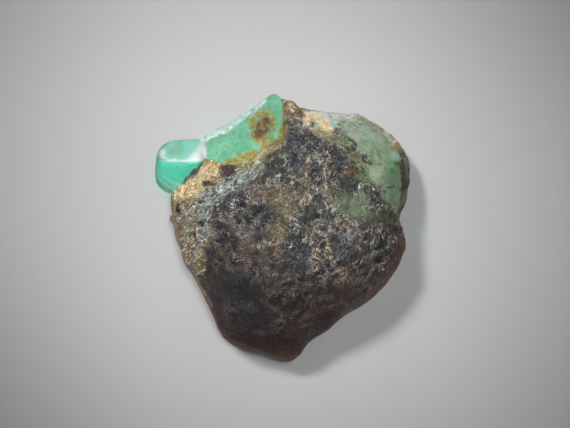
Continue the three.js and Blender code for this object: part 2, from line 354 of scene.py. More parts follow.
OLIVE_FRINGE = [
    ((11.4, 7.5), (1.44, 0.72), -30), ((12.2, 6.5), (1.29, 0.57), -35),
    ((8.2, 12.4), (1.15, 0.58), -20), ((14.6, 4.8), (0.87, 1.44), 20),
]
BROWN_FRINGE = [
    ((10.7, 9.8), (1.87, 0.58), -42), ((9.4, 12.3), (1.44, 0.43), -45),
    ((9.9, 8.2), (1.29, 0.57), -5), ((13.2, 5.9), (1.15, 0.29), -30),
]
TOP_CLUSTER = [
    ((5.2, 13.7), (1.29, 0.72), -30), ((6.8, 12.7), (0.72, 1.15), 20),
    ((2.5, 14.9), (1.3, 0.58), -25),
]
TOP_GOLD = [
    ((4.3, 16.8), (1.32, 0.88), 0), ((5.7, 16.1), (1.32, 1.17), -30),
    ((3.5, 15.7), (0.58, 0.73), 0), ((6.4, 14.8), (0.87, 0.87), -20),
]
TOP_TAN = [
    ((6.1, 13.9), (1.15, 0.58), -30), ((5.1, 14.2), (1.01, 0.58), 0),
    ((3.0, 17.1), (0.59, 0.74), 0),
]
MINT_SPOT = [((4.9, 14.9), (0.46, 0.38), 0)]
TOP_STRIP = [([(5.7, 17.5), (7.5, 16.9), (9.2, 16.9), (10.8, 16.8)], 2.2)]
TOP_MINT = [((9.8, 17.1), (1.19, 0.37), 0), ((7.7, 15.3), (1.17, 0.73), -5)]
TOP_LINES = [
    ([(3.1, 17.7), (5.3, 17.8), (7.0, 17.3), (8.8, 17.1), (10.2, 17.2), (11.0, 17.2)], 0.23),
    ([(6.7, 17.0), (7.9, 16.5), (9.3, 16.0), (10.8, 16.2)], 0.23),
]
# The top right edge, painted lighter than its own green as painted light, since it is steep and
# little lit.
TOP_EDGE_PAINTED_LIGHT = [([(10.8, 16.7), (12.2, 15.9), (13.5, 15.1), (14.7, 14.2), (15.8, 13.1)], 1.4)]
TOP_FRINGE = [
    ([(11.0, 17.2), (11.8, 16.4), (12.9, 15.8), (14.2, 15.1), (15.2, 14.3), (16.2, 13.2)], 0.8),
]
PEAK = [
    ((0.9, 18.1), (0.88, 1.18), -30), ((2.1, 17.1), (1.03, 0.73), -40),
    ((0.6, 16.9), (0.6, 1.2), 0),
]
PEAK_STREAKS = [
    ([(0.2, 19.1), (1.2, 18.0), (1.5, 16.9)], 0.23),
    ([(1.0, 18.8), (1.9, 17.8)], 0.23),
    ([(0.2, 18.7), (0.6, 17.8)], 0.17),
]
PEAK_TRACES = [
    ([(0.6, 16.1), (1.6, 16.3), (2.8, 15.7), (4.1, 14.6)], 0.29),
    ([(1.0, 14.7), (2.9, 14.9), (4.5, 14.2)], 0.29),
    ([(1.9, 17.1), (1.2, 15.6)], 0.23),
]
RIGHT_RIM = [
    ([(17.3, 12.5), (18.1, 10.8), (18.8, 9.1), (19.0, 7.0), (18.7, 4.9), (17.7, 3.1),
      (17.5, 1.0)], 1.3),
]
RIGHT_GROOVE = [([(17.5, 10.7), (17.9, 9.0), (17.9, 6.9), (17.6, 4.8), (16.9, 3.1)], 1.1)]
TAN_PATCH = [((16.5, 12.3), (0.75, 0.95), -30)]
CREAM_PATCH = [((16.4, 12.9), (0.6, 0.5), -20)]
CHEEK = [((17.7, -1.3), (0.59, 0.89), 0)]
DARK_CHEEK = [((16.3, 0.2), (1.17, 1.17), 0), ((16.9, -3.4), (1.03, 0.88), 0)]
GLINTS = [
    ((1.0, -2.5), (0.15, 0.15), 0), ((10.8, 6.2), (0.17, 0.17), 0), ((14.1, 3.4), (0.17, 0.17), 0),
    ((9.0, 8.8), (0.14, 0.14), 0), ((12.9, 5.8), (0.17, 0.14), 0), ((-6.8, 7.0), (0.14, 0.14), 0),
    ((-6.1, 6.7), (0.14, 0.14), 0), ((-8.7, 6.0), (0.17, 0.28), -40),
    ((-8.6, 5.2), (0.21, 0.43), -30), ((-3.7, 9.3), (0.14, 0.28), -40),
]
WINDOW = [
    ((10.1, 14.7), (2.18, 0.87), -10), ((11.8, 13.2), (3.1, 2.1), -32),
    ((13.6, 10.9), (2.6, 3.0), 0), ((11.3, 11.6), (1.01, 1.15), -40),
    ((14.5, 8.2), (2.9, 2.0), -15), ((15.7, 5.7), (1.7, 2.1), 0), ((16.5, 3.7), (0.88, 1.31), 0),
    ((16.6, 10.9), (0.88, 1.18), 0), ((13.2, 14.4), (2.6, 0.9), -36),
]
WINDOW_SCRAPS = [
    ((8.4, 12.6), (1.7, 1.5), 0), ((10.6, 9.9), (1.6, 2.2), 45), ((12.4, 7.2), (1.5, 1.3), 0),
    ((8.8, 14.6), (1.3, 0.8), 0), ((14.6, 5.2), (0.9, 1.6), 35),
]
WINDOW_BITES = [
    ((12.0, 10.0), (1.15, 0.36), -48), ((14.3, 3.6), (1.15, 0.86), -20),
    ((10.0, 12.7), (0.87, 0.29), -45),
]
PALE_VEILS = [
    ((9.8, 14.7), (2.04, 0.73), -8), ((12.4, 13.9), (1.46, 0.88), -25),
    ((11.7, 11.9), (1.01, 1.3), 0), ((9.3, 13.9), (1.01, 0.58), 0),
]
PALE_LINES = [
    ([(13.8, 14.3), (13.6, 12.3), (13.3, 9.7)], 0.29),
    ([(11.7, 14.8), (11.9, 10.7)], 0.29),
    ([(15.6, 13.8), (15.5, 10.4)], 0.22),
    ([(11.1, 8.2), (12.5, 8.0), (13.6, 6.8)], 0.29),
]
DARK_LINE = [([(15.2, 6.0), (15.9, 6.1), (16.3, 6.4)], 0.25)]
KNOB_SPOT = [((15.6, 9.5), (0.58, 0.87), 0)]
WHITE_SPOT = [((16.4, 10.9), (0.73, 0.88), 0)]
BIG_STAIN = [
    ((-3.0, 14.7), (1.35, 1.5), 0), ((-3.6, 14.0), (1.0, 0.9), 0), ((-2.4, 15.6), (0.9, 0.9), 0),
]
STAIN_HALO = [
    ((-3.0, 16.7), (1.45, 0.73), 0), ((-4.5, 15.3), (0.58, 1.31), 0),
    ((-3.6, 13.3), (1.3, 0.87), -30), ((-2.5, 12.7), (1.02, 0.87), 0),
    ((-2.8, 11.7), (0.57, 0.86), 0), ((-1.6, 15.1), (0.58, 1.3), -10),
]
EDGE_HALO = [
    ((-0.1, 13.8), (0.51, 1.45), 0), ((-0.7, 12.3), (0.71, 0.71), 0), ((0.6, 16.8), (0.45, 1.2), 0),
    ((0.2, 15.3), (0.29, 1.16), 0),
]
LOWER_HALO = [
    ((-4.7, 10.6), (1.43, 0.72), 15), ((-5.7, 10.1), (1.14, 0.71), 0),
    ((-3.7, 10.5), (0.71, 0.71), 0), ((-7.8, 9.8), (0.58, 0.43), 0), ((-2.6, 11.4), (1.3, 0.6), 40),
    ((-6.8, 9.8), (1.3, 0.45), 0),
]
FLECKS = [
    ((-6.1, 13.2), (0.17, 0.51), 15), ((-7.1, 13.8), (0.22, 0.29), -20),
    ((-9.1, 12.4), (0.41, 0.15), -35), ((-8.1, 11.9), (0.38, 0.14), -25),
    ((-8.6, 11.2), (0.13, 0.38), 5), ((-9.5, 11.0), (0.14, 0.2), 0),
    ((-7.1, 11.3), (0.23, 0.13), 0), ((-6.1, 14.3), (0.13, 0.2), 0), ((-8.4, 13.5), (0.2, 0.15), 0),
    ((-9.2, 10.1), (0.23, 0.17), 0),
]
# The left crystal's outer edge: frosted chips, painted pale partly for their own frosting and
# partly as a painted highlight.
FROST_AND_HIGHLIGHT_EDGE = [
    ([(-11.8, 13.2), (-11.0, 14.1), (-9.8, 14.4), (-8.8, 14.3), (-8.0, 14.9), (-7.0, 15.7),
      (-5.8, 16.4), (-4.5, 17.4), (-3.1, 18.7)], 1.05),
]
# Patches of painted highlight on the left crystal's top edge.
FROST_HIGHLIGHT_PATCH = [((-9.7, 14.1), (1.47, 0.59), 25), ((-10.9, 13.5), (0.88, 0.44), 40)]
# A facet by the peak of the left crystal, painted paler as a painted highlight.
HIGHLIGHT_STRIP = [
    ([(0.0, 18.4), (0.2, 17.0), (0.0, 15.7), (-0.4, 14.8), (-0.9, 13.7), (-1.1, 12.8)], 0.6),
]
PALE_FACET = [((-0.7, 17.0), (0.73, 1.74), 0), ((-1.2, 18.2), (0.58, 1.02), 20)]
CRACK = [([(-12.1, 8.4), (-13.0, 8.0), (-13.8, 7.7), (-14.1, 7.2), (-14.6, 6.6)], 0.25)]
TEAL_STREAKS = [
    ([(-18.5, 7.5), (-17.4, 6.7), (-16.4, 6.0)], 0.29),
    ([(-17.7, 7.8), (-16.3, 6.9), (-14.7, 6.3)], 0.22),
]
WHITE_PATCHES = [
    ((-12.3, 10.4), (1.46, 0.88), 10), ((-11.8, 11.2), (0.87, 1.16), 0),
    ((-13.8, 9.8), (1.31, 0.38), -8), ((-17.8, 11.2), (0.51, 0.59), -20),
    ((-16.2, 10.1), (1.46, 0.23), -12),
]
OLIVE_VEIL = [((-15.3, 11.9), (0.73, 1.17), 0), ((-16.1, 11.4), (1.03, 0.59), 0)]
PARTING = [
    ([(-18.4, 10.3), (-17.1, 10.2), (-15.9, 10.1), (-14.6, 9.6), (-13.4, 9.3), (-12.5, 9.5),
      (-11.7, 9.9)], 0.15),
]


# The schist's patches, each over the ones before: shapes, softness of the edge, strength,
# whether it is broken into flecks, the colour of the mica and the colour of the fibres.
PATCHES = (
    (BLUE_SHADE, 0.7, 0.85, False, (0.014, 0.018, 0.025), (0.16, 0.19, 0.20)),
    (LOW_SHADE, 0.7, 0.85, False, (0.020, 0.019, 0.024), (0.050, 0.050, 0.058)),
    (BROWN_GLOW, 0.7, 0.7, False, (0.095, 0.067, 0.050), (0.24, 0.18, 0.13)),
    (RUST_GLOW, 0.7, 0.6, False, (0.070, 0.038, 0.028), (0.15, 0.09, 0.06)),
    (MAROON, 0.7, 0.9, False, (0.036, 0.007, 0.008), (0.060, 0.020, 0.018)),
    (FOOT_GLOW, 0.7, 0.8, False, (0.13, 0.045, 0.025), (0.17, 0.07, 0.04)),
    (OLIVE_GLOW, 0.9, 0.85, False, (0.15, 0.122, 0.068), (0.44, 0.37, 0.23)),
    (DIM_VEINS, 0.7, 1.0, True, (0.08, 0.06, 0.045), (0.36, 0.27, 0.20)),
    (VEINS, 0.7, 1.0, True, (0.13, 0.10, 0.08), (0.80, 0.68, 0.50)),
    (DIM_HAZE, 0.7, 0.8, False, (0.085, 0.10, 0.055), (0.13, 0.15, 0.085)),
    (HAZE, 0.8, 0.85, False, (0.19, 0.26, 0.15), (0.27, 0.34, 0.21)),
    (OLIVE_FRINGE, 0.5, 0.8, False, (0.10, 0.13, 0.045), (0.26, 0.29, 0.12)),
    (BROWN_FRINGE, 0.5, 0.9, False, (0.060, 0.040, 0.028), (0.32, 0.22, 0.14)),
    (DARK_CLUSTER, 0.5, 0.9, False, (0.018, 0.018, 0.020), (0.28, 0.27, 0.25)),
    (DARK_CHEEK, 0.7, 0.7, False, (0.030, 0.015, 0.014), (0.06, 0.035, 0.03)),
    (CHEEK, 0.5, 0.9, False, (0.24, 0.12, 0.08), (0.34, 0.19, 0.13)),
    (TOP_CLUSTER, 0.5, 1.0, True, (0.08, 0.07, 0.06), (0.62, 0.60, 0.50)),
    (TOP_TAN, 0.5, 0.9, False, (0.28, 0.19, 0.10), (0.75, 0.62, 0.42)),
    (TOP_GOLD, 0.4, 1.0, False, (0.95, 0.78, 0.44), (1.0, 0.96, 0.74)),
    (TOP_GOLD, 0.5, 0.5, True, (0.42, 0.20, 0.07), (0.95, 0.70, 0.36)),
    (TOP_STRIP, 0.4, 1.0, False, (0.74, 0.76, 0.68), (0.95, 0.95, 0.88)),
    (MINT_SPOT + TOP_MINT, 0.4, 1.0, False, (0.40, 0.58, 0.50), (0.62, 0.80, 0.68)),
    (TOP_LINES, 0.5, 0.5, False, (0.20, 0.17, 0.15), (0.34, 0.30, 0.26)),
    # painted light: the steep top edge is painted lighter than its own colour
    (TOP_EDGE_PAINTED_LIGHT, 0.5, 0.95, False, (0.42, 0.54, 0.40), (0.62, 0.74, 0.60)),
    (TOP_FRINGE, 0.5, 0.8, True, (0.13, 0.08, 0.05), (0.75, 0.60, 0.42)),
    (PEAK, 0.3, 1.0, False, (0.16, 0.08, 0.035), (0.45, 0.30, 0.16)),
    (PEAK_STREAKS, 0.5, 1.0, False, (0.75, 0.66, 0.42), (0.95, 0.90, 0.66)),
    (PEAK_TRACES, 0.5, 0.6, False, (0.30, 0.29, 0.25), (0.62, 0.62, 0.52)),
    (RIGHT_RIM, 0.5, 1.0, False, (0.19, 0.18, 0.115), (0.28, 0.26, 0.17)),
    (RIGHT_GROOVE, 0.6, 0.95, False, (0.028, 0.035, 0.030), (0.05, 0.055, 0.05)),
    (TAN_PATCH, 0.4, 1.0, False, (0.58, 0.40, 0.22), (0.66, 0.48, 0.28)),
    (CREAM_PATCH, 0.4, 1.0, False, (0.90, 0.74, 0.55), (0.95, 0.80, 0.60)),
    (LEDGE, 0.2, 1.0, False, (0.20, 0.145, 0.085), (0.88, 0.76, 0.54)),
    (GREY_PLATES, 0.3, 0.9, False, (0.20, 0.19, 0.16), (0.48, 0.46, 0.40)),
    (SILVER_LINE + SILVER_TAIL, 0.35, 1.0, False, (0.13, 0.15, 0.135), (0.72, 0.76, 0.68)),
    (TAN_LINE, 0.5, 1.0, False, (0.28, 0.24, 0.17), (0.78, 0.70, 0.52)),
    (CREAM_LINE + CREAM_SEAM, 0.5, 1.0, False, (0.84, 0.69, 0.38), (1.0, 1.0, 0.86)),
    (CREAM_LINE + CREAM_SEAM, 0.6, 0.9, True, (0.28, 0.15, 0.035), (0.85, 0.62, 0.28)),
    (AMBER_SEAM, 0.5, 0.9, False, (0.28, 0.17, 0.05), (0.46, 0.30, 0.10)),
    (OLIVE_SEAM, 0.5, 1.0, False, (0.26, 0.26, 0.06), (0.42, 0.40, 0.12)),
    (RIDGE_SEAM, 0.5, 1.0, False, (0.20, 0.15, 0.07), (0.50, 0.40, 0.22)),
    (RIDGE_LINE, 0.5, 1.0, False, (0.52, 0.44, 0.30), (0.92, 0.84, 0.62)),
    (AMBER_POCKETS, 0.6, 0.9, False, (0.22, 0.13, 0.05), (0.52, 0.38, 0.18)),
    (BROWN_POCKETS, 0.4, 1.0, False, (0.028, 0.018, 0.014), (0.17, 0.13, 0.11)),
    (LEFT_EDGE, 0.5, 0.9, False, (0.28, 0.18, 0.09), (0.62, 0.50, 0.34)),
    (LOW_EDGE, 0.5, 0.8, False, (0.13, 0.045, 0.02), (0.17, 0.07, 0.035)),
    (RUST_EDGE, 0.8, 0.8, False, (0.15, 0.065, 0.035), (0.24, 0.12, 0.07)),
    (GLINTS, 0.4, 1.0, False, (0.80, 0.82, 0.78), (0.90, 0.92, 0.88)),
)


def object_place(graph):
    """The surface point in millimetres."""
    if graph.tree.bl_idname == "GeometryNodeTree":
        place = graph.node("GeometryNodeInputPosition")
    else:
        place = graph.node("ShaderNodeTexCoord", None, None, 3)
    return graph.vector("MULTIPLY", place, (1000.0, 1000.0, 1000.0))


def torn_place(graph, place):
    """The place wandered about so that a mask on it has a ragged edge."""
    return graph.wander(graph.wander(place, 1.7, 1.1), 0.5, 0.6, 3.0, seed=2)


def stored(graph, name, kind="FLOAT"):
    """A value stored on the mesh under a name: a FLOAT, a FLOAT_COLOR or a FLOAT_VECTOR."""
    if graph.tree.bl_idname == "GeometryNodeTree":
        return graph.node("GeometryNodeInputNamedAttribute", {"data_type": kind}, {"Name": name})
    output = {"FLOAT": 2, "FLOAT_COLOR": 0, "FLOAT_VECTOR": 1}[kind]
    return graph.node("ShaderNodeAttribute", {"attribute_name": name}, None, output)


# ---------------------------------------------------------------------------------------------
# Modelling helpers
# ---------------------------------------------------------------------------------------------
def select_only(piece):
    bpy.ops.object.select_all(action="DESELECT")
    piece.select_set(True)
    bpy.context.view_layer.objects.active = piece


def copy_of_node(node, name):
    """A new piece with the merged mesh of a CAD node."""
    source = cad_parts[node]
    piece = bpy.data.objects.new(name, source.data.copy())
    bpy.context.scene.collection.objects.link(piece)
    piece.data.materials.clear()
    select_only(piece)
    bpy.ops.object.mode_set(mode="EDIT")
    bpy.ops.mesh.select_all(action="SELECT")
    bpy.ops.mesh.remove_doubles(threshold=1e-6)
    bpy.ops.object.mode_set(mode="OBJECT")
    return piece


def apply_modifier(piece, kind, **settings):
    select_only(piece)
    modifier = piece.modifiers.new(kind.title(), kind)
    for name, value in settings.items():
        setattr(modifier, name, value)
    bpy.ops.object.modifier_apply(modifier=modifier.name)


def apply_geometry(piece, name, build):
    """Runs a geometry node tree on a piece and applies it. build(graph, mesh) gives the result."""
    tree = bpy.data.node_groups.get(name)
    if tree is None:
        tree = bpy.data.node_groups.new(name, "GeometryNodeTree")
        for in_out in ("INPUT", "OUTPUT"):
            tree.interface.new_socket("Geometry", in_out=in_out, socket_type="NodeSocketGeometry")
        graph = Graph(tree)
        graph.node("NodeGroupOutput", None, {0: build(graph, graph.node("NodeGroupInput"))})
    apply_modifier(piece, "NODES", node_group=tree)


def marked(graph, mesh, name, value, kind="FLOAT", domain="POINT"):
    """The mesh with a value stored on it under a name."""
    settings = {"data_type": kind, "domain": domain}
    sockets = {"Geometry": mesh, "Name": name, "Value": value}
    return graph.node("GeometryNodeStoreNamedAttribute", settings, sockets)


def moved_along_normal(graph, mesh, height):
    """The mesh with every point moved out by height in millimetres."""
    normal = graph.node("GeometryNodeInputNormal")
    offset = graph.vector("MULTIPLY", normal, height * MM)
    return graph.node("GeometryNodeSetPosition", None, {"Geometry": mesh, "Offset": offset})


def finish_piece(piece, material, slot, *nodes):
    """Gives a piece its material and its body, and hides the CAD nodes that it stands for; slot is
    not used.
    """
    piece.data.materials.clear()
    piece.data.materials.append(material)
    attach(piece, "root")
    if nodes:
        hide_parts(*nodes)


# ---------------------------------------------------------------------------------------------
# Relief
# ---------------------------------------------------------------------------------------------
def mark_regions(graph, mesh):
    """Stores where each kind of surface lies, with torn edges that stray further low down."""
    place = object_place(graph)
    low = graph.rise(graph.part(place, 2), 7.5, 3.0)
    drift = graph.vector("SUBTRACT", graph.wander(place, 3.0, 14.0, 2.0, seed=7), place)
    torn = graph.vector("ADD", torn_place(graph, place), graph.scaled(drift, low))
    ledge = graph.covered(torn, LEDGE, 0.2)
    silver = graph.covered(torn, SILVER_LINE, 0.35) | graph.covered(torn, SILVER_TAIL, 0.6)
    depth = graph.part(torn, 1) + graph.part(torn, 0) * 0.25
    window = graph.covered(torn, WINDOW, 0.3) | 0.46 * graph.covered(torn, WINDOW_SCRAPS, 0.6)
    rim = graph.covered(place, RIGHT_RIM + RIGHT_GROOVE + TOP_STRIP + TOP_EDGE_PAINTED_LIGHT, 0.5)
    masks = {
        "ledge": ledge,
        "silver": silver,
        "gold": graph.covered(torn, CREAM_LINE + CREAM_SEAM + AMBER_SEAM),
        "pockets": graph.covered(torn, BROWN_POCKETS),
        "top_gold": graph.covered(torn, TOP_GOLD, 0.3),
        "glow": graph.covered(torn, HAZE + DIM_HAZE + OLIVE_GLOW + TOP_STRIP, 0.5),
        "smooth": graph.rise(depth, 3.0, -7.0) * (1.0 - ledge) | rim,
        "bare": window * (1.0 - graph.covered(torn, WINDOW_BITES, 0.5)),
        "band": silver | ledge,
    }
    mesh = marked(graph, mesh, "torn", torn, "FLOAT_VECTOR")
    for name, mask in masks.items():
        mesh = marked(graph, mesh, name, mask)
    return mesh


def schist_height(graph, place):
    """How far the broken mica stands out from the schist's plain shape, in millimetres."""
    layered = graph.vector("MULTIPLY", place, (1.0, 1.0, 2.2))
    wide = graph.noise(place, 7.0, 3.0, 0.5) - 0.5
    big = graph.plates(graph.wander(layered, 1.6, 0.8, seed=3), 1.7, 0.4, 0.4)
    small = graph.plates(graph.wander(layered, 0.8, 0.5, seed=4), 0.75, 0.5, 0.3)
    matted = graph.fibres(place, 1.5, 0.4, 1.4, seed=5) - 0.5
    rough = 1.0 - 0.9 * stored(graph, "smooth")
    flaky = rough * (0.8 + 0.9 * (stored(graph, "band") | stored(graph, "gold")))
    relief = wide * 0.6 + flaky * (big * 0.4 + small * 0.35 + matted * 0.7)
    return relief + stored(graph, "silver") * 0.3 + stored(graph, "ledge") * 0.35


def nearest_on(graph, piece):
    """The distance to a piece's surface in millimetres, and the direction to it."""
    shape = graph.node("GeometryNodeObjectInfo", None, {0: piece}, 4)
    found = graph.node("GeometryNodeProximity", {"target_element": "FACES"}, {0: shape})
    here = graph.node("GeometryNodeInputPosition")
    towards = graph.vector("NORMALIZE", graph.vector("SUBTRACT", found, here))
    return graph.also(found, "Distance") / MM, towards


def base_colours(graph, mesh):
    """Stores the colours of the dark mica and of the pale fibres matted over it.

    The fibres thin out towards the foot and the left, which are darker and plainer."""
    place = object_place(graph)
    torn = stored(graph, "torn", "FLOAT_VECTOR")
    upwards = graph.part(place, 1) + graph.part(place, 0) * 0.35
    upper = graph.rise(upwards, -10.0, 3.0)
    clump = graph.rise(graph.noise(place, 1.3, 3.0, 0.6, seed=8), 0.40, 0.62)
    patch = graph.rise(graph.noise(place, 3.6, 3.0, 0.55, seed=9), 0.35, 0.65)
    pits = graph.rise(graph.noise(torn, 1.1, 2.0, 0.6, seed=18), 0.42, 0.56)
    coal = graph.mix(upper, (0.019, 0.015, 0.018, 1), (0.019, 0.022, 0.027, 1))
    rust = graph.mix(upper, (0.100, 0.066, 0.058, 1), (0.085, 0.075, 0.066, 1))
    ground = graph.mix(pits * (0.25 + 0.75 * patch), coal, rust)
    pale = graph.mix(clump, (0.11, 0.11, 0.10, 1), (0.66, 0.62, 0.53, 1))
    fibre = graph.mix((0.34 + 0.66 * upper) * (0.35 + 0.65 * clump), ground, pale)
    flecked = graph.rise(graph.noise(torn, 0.8, 3.0, 0.7, 0.6, seed=10), 0.40, 0.56)
    mesh = marked(graph, mesh, "flecked", flecked)
    mesh = marked(graph, mesh, "clump", clump)
    mesh = marked(graph, mesh, "ground", ground, "FLOAT_COLOR")
    return marked(graph, mesh, "fibre", fibre, "FLOAT_COLOR")


def paint_schist(piece):
    """Colours a piece's schist: first all over, then patch by patch, fading out low down."""
    apply_geometry(piece, "Schist colours", base_colours)
    for number, patch in enumerate(PATCHES):
        shapes, soft, strength, broken, dark, light = patch

        def paint(graph, mesh):
            torn = stored(graph, "torn", "FLOAT_VECTOR")
            if broken:
                torn = graph.wander(torn, 1.3, 1.8, 3.0, seed=11)
            height = graph.part(torn, 2) + 4.0 * graph.noise(torn, 3.5, 2.0)
            mask = graph.covered(torn, shapes, soft) * (graph.rise(height, 3.0, 8.0) * strength)
            if broken:
                mask = mask * stored(graph, "flecked")
            for name, colour in (("ground", dark), ("fibre", light)):
                mixed = graph.mix(mask, stored(graph, name, "FLOAT_COLOR"), (*colour, 1.0))
                mesh = marked(graph, mesh, name, mixed, "FLOAT_COLOR")
            return mesh

        apply_geometry(piece, f"Patch {number + 1}", paint)


def wear_down(piece, grain, wear, passes):
    """Makes a fine even mesh of a piece and wears down its sharp edges, more with every pass."""
    apply_modifier(piece, "REMESH", mode="VOXEL", voxel_size=grain, adaptivity=0.0)
    apply_modifier(piece, "SMOOTH", factor=wear, iterations=passes)


def build_schist_mesh(piece, grain, crystals):
    """Breaks up the schist's plain shape, and closes it onto the crystals grown in it."""
    wear_down(piece, grain, 0.6, 3)
    apply_geometry(piece, "Schist regions", mark_regions)
    paint_schist(piece)

    def relief(graph, mesh):
        place = object_place(graph)
        seat = nearest_on(graph, crystals[0])[0] & nearest_on(graph, crystals[1])[0]
        shaped = marked(graph, mesh, "seat", graph.rise(seat, 0.75, 0.45))
        lifted = graph.rise(graph.part(place, 2), 0.05, 1.2)
        shaped = moved_along_normal(graph, shaped, schist_height(graph, place) * lifted)
        torn = graph.rise(graph.noise(place, 0.9, 3.0, 0.6, seed=20), 0.4, 0.7)
        for crystal in crystals:
            distance, towards = nearest_on(graph, crystal)
            reach = graph.rise(distance, CONTACT, 0.5) * (distance + 0.12 + 0.5 * torn)
            sockets = {"Geometry": shaped, "Offset": graph.scaled(towards, reach * MM)}
            shaped = graph.node("GeometryNodeSetPosition", None, sockets)
        return shaped

    apply_geometry(piece, "Schist relief", relief)


def left_relief(graph, mesh):
    """A rounded hexagonal end, chips along the outer edge, and low waves on the broken faces."""
    sockets = {
        "Value": graph.node("GeometryNodeInputPosition"),
        "Iterations": END_ROUNDING,
        "Weight": graph.rise(graph.part(object_place(graph), 0), END_START + 1.0, END_START - 0.6),
    }
    rounded = graph.node("GeometryNodeBlurAttribute", {"data_type": "FLOAT_VECTOR"}, sockets)
    mesh = graph.node("GeometryNodeSetPosition", None, {"Geometry": mesh, "Position": rounded})
    place = object_place(graph)
    facing = graph.part(graph.node("GeometryNodeInputNormal"), 2)
    # Where the crystal's sides are steep, which its material darkens as painted shade.
    mesh = marked(graph, mesh, "side", graph.rise(facing, 0.5, 0.1))
    edge = graph.covered(graph.wander(place, 1.5, 1.0), FROST_AND_HIGHLIGHT_EDGE, 0.6)
    chips = (graph.noise(place, 0.8, 2.0, 0.6, seed=21) - 0.5) * edge
    waves = graph.noise(place, 2.2, 2.0) - 0.5
    return moved_along_normal(graph, mesh, chips * 0.5 + waves * 0.14)


def right_relief(graph, mesh):
    """A crust of schist on the right crystal, torn away where the crystal shows."""
    place = object_place(graph)
    bare = stored(graph, "bare")
    crust = (1.0 - bare) * (0.2 + 0.8 * schist_height(graph, place))
    waves = (graph.noise(place, 1.8, 2.0, seed=22) - 0.5) * 0.2 * bare
    upward = graph.rise(graph.part(graph.node("GeometryNodeInputNormal"), 2), 0.0, 0.4)
    return moved_along_normal(graph, mesh, (crust + waves) * upward)


# ---------------------------------------------------------------------------------------------
# Mica flakes
# ---------------------------------------------------------------------------------------------
def blade_shape(width):
    """A sliver of mica 1 mm long and width mm wide, arched, with bevelled edges."""
    bpy.ops.object.select_all(action="DESELECT")
    bpy.ops.mesh.primitive_grid_add(x_subdivisions=3, y_subdivisions=1, size=MM)
    blade = bpy.context.object
    bpy.ops.object.mode_set(mode="EDIT")
    bpy.ops.mesh.select_all(action="SELECT")
    bpy.ops.transform.resize(value=(1.0, width, 1.0))
    bpy.ops.mesh.extrude_region_move(TRANSFORM_OT_translate={"value": (0.0, 0.0, 0.06 * MM)})
    bpy.ops.transform.resize(value=(0.8, 0.6, 1.0))
    bpy.ops.mesh.select_all(action="SELECT")
    bpy.ops.mesh.normals_make_consistent(inside=False)
    bpy.ops.object.mode_set(mode="OBJECT")
    bend = {"deform_method": "BEND", "deform_axis": "Y", "angle": math.radians(40)}
    apply_modifier(blade, "SIMPLE_DEFORM", **bend)
    return blade


def joined_copy(pieces):
    """One new object with the meshes of several pieces."""
    bpy.ops.object.select_all(action="DESELECT")
    copies = []
    for piece in pieces:
        copy = bpy.data.objects.new("ground", piece.data.copy())
        bpy.context.scene.collection.objects.link(copy)
        copy.select_set(True)
        copies.append(copy)
    bpy.context.view_layer.objects.active = copies[0]
    bpy.ops.object.join()
    return copies[0]


def scatter_flakes(name, grounds, share, cover, per_mm2, width, lengths, tilt, spread, seed):
    """Slivers lying on the grounds wherever cover(graph) is above 0, all in one mesh."""
    blade = blade_shape(width)
    piece = joined_copy(grounds)
    piece.name = name

    def random(graph, low, high, number):
        sockets = {2: low, 3: high, "Seed": seed + number}
        return graph.node("FunctionNodeRandomValue", {"data_type": "FLOAT"}, sockets, 1)

    def build(graph, mesh):
        up = graph.rise(graph.part(graph.node("GeometryNodeInputNormal"), 2), 0.35, 0.7)
        density = cover(graph) * up * (share * per_mm2 / MM**2)
        sockets = {"Mesh": mesh, "Density": density, "Seed": seed}
        points = graph.node("GeometryNodeDistributePointsOnFaces", None, sockets)
        heading = (math.cos(math.radians(BAND_RUN)), math.sin(math.radians(BAND_RUN)), 0.0)
        along = graph.node(
            "FunctionNodeAlignRotationToVector",
            {"axis": "X", "pivot_axis": "Z"},
            {"Rotation": graph.also(points, "Rotation"), "Vector": heading},
        )
        reach = (tilt, tilt, math.radians(spread / 2))
        lean = graph.node(
            "FunctionNodeRandomValue",
            {"data_type": "FLOAT_VECTOR"},
            {0: tuple(-turn for turn in reach), 1: reach, "Seed": seed + 1},
        )
        turned = graph.node(
            "FunctionNodeRotateRotation",
            {"rotation_space": "LOCAL"},
            {
                "Rotation": along,
                "Rotate By": graph.node("FunctionNodeEulerToRotation", None, {0: lean}),
            },
        )
        length = lengths[0] + (lengths[1] - lengths[0]) * random(graph, 0.0, 1.0, 2) ** 2.0
        breadth = random(graph, 0.6, 1.5, 3)
        scale = graph.node("ShaderNodeCombineXYZ", None, {0: length, 1: breadth, 2: length})
        shape = graph.node("GeometryNodeObjectInfo", None, {0: blade, 1: True}, 4)
        placed = graph.node(
            "GeometryNodeInstanceOnPoints",
            None,
            {"Points": points, "Instance": shape, "Rotation": turned, "Scale": scale},
        )
        toned = marked(graph, placed, "tone", random(graph, 0.0, 1.0, 4), domain="INSTANCE")
        return graph.node("GeometryNodeRealizeInstances", None, {0: toned})

    apply_geometry(piece, name, build)
    bpy.data.objects.remove(blade)
    return piece


def dome_cover(graph):
    """Where grey slivers lie: on the rough dome between the other kinds of surface."""
    plain = 1.0
    for name in ("smooth", "bare", "band", "gold", "top_gold", "glow"):
        plain = plain * (1.0 - stored(graph, name))
    return plain * stored(graph, "clump")


def band_cover(graph):
    """Where silver flakes lie: on the silver band and the ledge below it."""
    band = stored(graph, "silver") | stored(graph, "ledge") * 0.6
    return band * (1.0 - stored(graph, "pockets")) * (1.0 - stored(graph, "gold"))


def gold_cover(graph):
    """Where gold flakes lie: on the cream band and the patch at the top."""
    gold = stored(graph, "gold") | stored(graph, "top_gold") * 0.7
    return gold * (1.0 - stored(graph, "pockets"))


